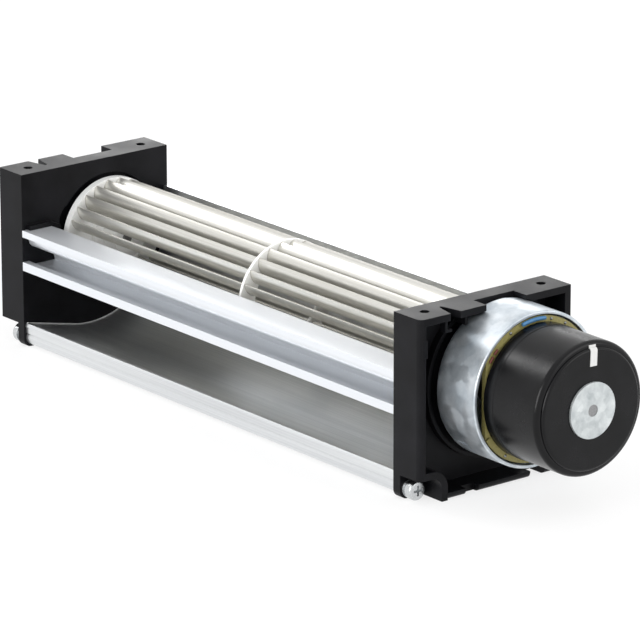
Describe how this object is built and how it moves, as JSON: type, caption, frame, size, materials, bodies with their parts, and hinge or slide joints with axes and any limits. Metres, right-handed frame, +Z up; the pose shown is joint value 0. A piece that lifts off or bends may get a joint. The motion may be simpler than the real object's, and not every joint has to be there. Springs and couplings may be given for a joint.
{
  "type": "cross flow fan",
  "caption": "Cross flow fan: a long bladed impeller between two black side plates, with an aluminium scroll and stabiliser and an external rotor motor on one end.",
  "frame": {"origin": "middle of the underside of the whole blower", "axes": "+X along the impeller towards the motor, -Y the side that air is blown out of, +Z up"},
  "size_m": [0.2038, 0.0474, 0.047],
  "materials": {
    "black_moulding": "moulded glass-filled plastic, matt black",
    "extruded_aluminium": "mill-finish aluminium, drawn lengthwise",
    "impeller_aluminium": "bright rolled aluminium strip",
    "white_disc": "moulded white plastic",
    "zinc_plated_steel": "bright zinc plate",
    "galvanised_steel": "hot-dip galvanised, mottled",
    "die_cast_zinc": "bare die casting, mottled",
    "ground_steel": "ground and polished",
    "black_enamel": "semi-gloss black stoving enamel",
    "black_rubber": "moulded rubber",
    "sintered_bronze": "sintered, oil filled",
    "board_laminate": "bare yellow-green laminate",
    "insulator_moulding": "moulded nylon",
    "blue_insulation": "extruded wire insulation",
    "sensor_moulding": "moulded epoxy",
    "stator_steel": "stamped electrical sheet",
    "enamelled_copper": "wound enamelled wire",
    "bonded_magnet": "plastic-bonded ferrite",
    "grey_patch": "thin grey balancing patch"
  },
  "bodies": {
    "housing": {"left_side_plate": "black_moulding", "right_side_plate": "black_moulding", "scroll_housing": "extruded_aluminium", "stabiliser": "extruded_aluminium", "sleeve_bearing": "sintered_bronze", "bearing_rubber_mount": "black_rubber", "bearing_retainer": "zinc_plated_steel", "front_clamp_screws": "zinc_plated_steel", "front_washers": "zinc_plated_steel", "front_spring_washers": "zinc_plated_steel", "rear_clamp_screws": "zinc_plated_steel", "stabiliser_screws": "zinc_plated_steel", "motor_can": "galvanised_steel", "rubber_dampers": "black_rubber", "damper_screws": "zinc_plated_steel", "bearing_tube": "ground_steel", "ball_bearings": "ground_steel", "circuit_board": "board_laminate", "blue_jumper_wire": "blue_insulation", "position_sensor": "sensor_moulding", "stator_core": "stator_steel", "winding_insulators": "insulator_moulding", "stator_windings": "enamelled_copper"},
    "rotor": {"impeller_blades": "impeller_aluminium", "impeller_left_disc": "impeller_aluminium", "impeller_middle_disc": "white_disc", "impeller_right_disc": "impeller_aluminium", "impeller_left_hub": "impeller_aluminium", "impeller_right_hub": "impeller_aluminium", "stub_shaft": "ground_steel", "rotor_cup": "black_enamel", "rotor_magnet": "bonded_magnet", "rotor_hub": "die_cast_zinc", "balance_patch": "grey_patch", "motor_shaft": "ground_steel", "shaft_retaining_ring": "ground_steel", "bearing_spacer": "ground_steel"}
  },
  "joints": [
    {"name": "impeller_spin", "type": "hinge", "parent": "housing", "child": "rotor", "pos_m": [0, 0.0038, 0.0269], "axis": [1, 0, 0], "continuous": true}
  ]
}
